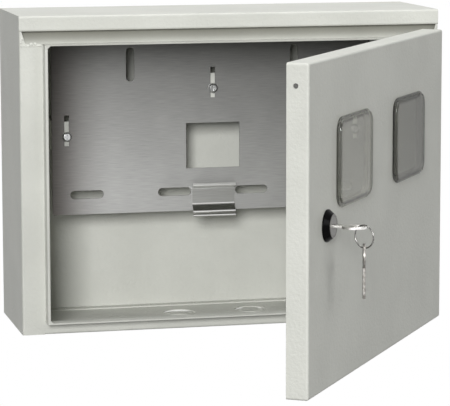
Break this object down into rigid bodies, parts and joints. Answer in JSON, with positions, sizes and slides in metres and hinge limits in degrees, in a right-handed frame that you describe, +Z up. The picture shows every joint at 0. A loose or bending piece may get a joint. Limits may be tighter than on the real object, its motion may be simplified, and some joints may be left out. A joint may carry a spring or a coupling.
{
  "type": "electric meter box",
  "caption": "Grey steel wall box for electricity meters with a rain hood, a hinged door with clear windows and a key lock, and a slotted mounting plate inside.",
  "frame": {"origin": "centre of the back face, on the wall plane", "axes": "+Y into the wall, +Z up, +X to the right as seen from the front; the door faces -Y"},
  "size_m": [0.42, 0.488, 0.3116],
  "materials": {
    "shell_paint": "light grey powder coat with a fine orange-peel texture",
    "zinc_plate": "zinc-plated sheet, finely brushed along its width",
    "bright_zinc": "bright zinc plating",
    "foam": "dark closed-cell sealing foam",
    "seal_rubber": "black rubber",
    "clear_plastic": "clear moulded polycarbonate, polished",
    "black_housing": "black coated zinc casting, satin",
    "nickel": "nickel plating, slightly worn"
  },
  "bodies": {
    "box": {"body_wrap": "shell_paint", "top_panel": "shell_paint", "bottom_panel": "shell_paint", "mounting_plate": "zinc_plate", "plate_bracket_left": "zinc_plate", "plate_bracket_center": "zinc_plate", "plate_bracket_right": "zinc_plate", "plate_screw_left": "bright_zinc", "plate_screw_center": "bright_zinc", "plate_screw_right": "bright_zinc", "rail": "bright_zinc", "body_earth_stud": "bright_zinc", "body_earth_washer": "bright_zinc", "body_earth_nut": "bright_zinc", "hinge_body_leaf_upper": "bright_zinc", "hinge_body_leaf_lower": "bright_zinc"},
    "door": {"door_panel": "shell_paint", "door_gasket": "foam", "window_left": "clear_plastic", "window_right": "clear_plastic", "window_seal_left": "seal_rubber", "window_seal_right": "seal_rubber", "hinge_door_leaf_upper": "bright_zinc", "hinge_door_leaf_lower": "bright_zinc", "hinge_pin_upper": "bright_zinc", "hinge_pin_lower": "bright_zinc", "door_earth_stud": "bright_zinc", "door_earth_washer": "bright_zinc", "door_earth_nut": "bright_zinc", "lock_housing": "black_housing", "lock_nut": "bright_zinc"},
    "lock_plug": {"lock_plug": "nickel", "lock_cam": "bright_zinc", "cam_washer": "bright_zinc", "cam_screw": "bright_zinc"},
    "key": {"key": "nickel"},
    "key_ring": {"key_ring": "nickel"},
    "spare_key": {"spare_key": "nickel"}
  },
  "joints": [
    {"name": "door_hinge", "type": "hinge", "parent": "box", "child": "door", "pos_m": [0.2025, -0.145, 0], "axis": [0, 0, 1], "range_deg": [-56.2, 48.8]},
    {"name": "plug_turn", "type": "hinge", "parent": "door", "child": "lock_plug", "pos_m": [0.00611, -0.44735, -0.008], "axis": [-0.831, 0.5563, 0], "range_deg": [0, 90]},
    {"name": "key_pull", "type": "slide", "parent": "lock_plug", "child": "key", "axis": [0.831, -0.5563, 0], "range_m": [0, 0.022]},
    {"name": "ring_swing", "type": "hinge", "parent": "key", "child": "key_ring", "pos_m": [0.03403, -0.46604, -0.00588], "axis": [0.831, -0.5563, 0], "range_deg": [-30, 30]},
    {"name": "spare_key_swing", "type": "hinge", "parent": "key_ring", "child": "spare_key", "pos_m": [0.03403, -0.46604, -0.02568], "axis": [0.831, -0.5563, 0], "range_deg": [-40, 40]}
  ]
}
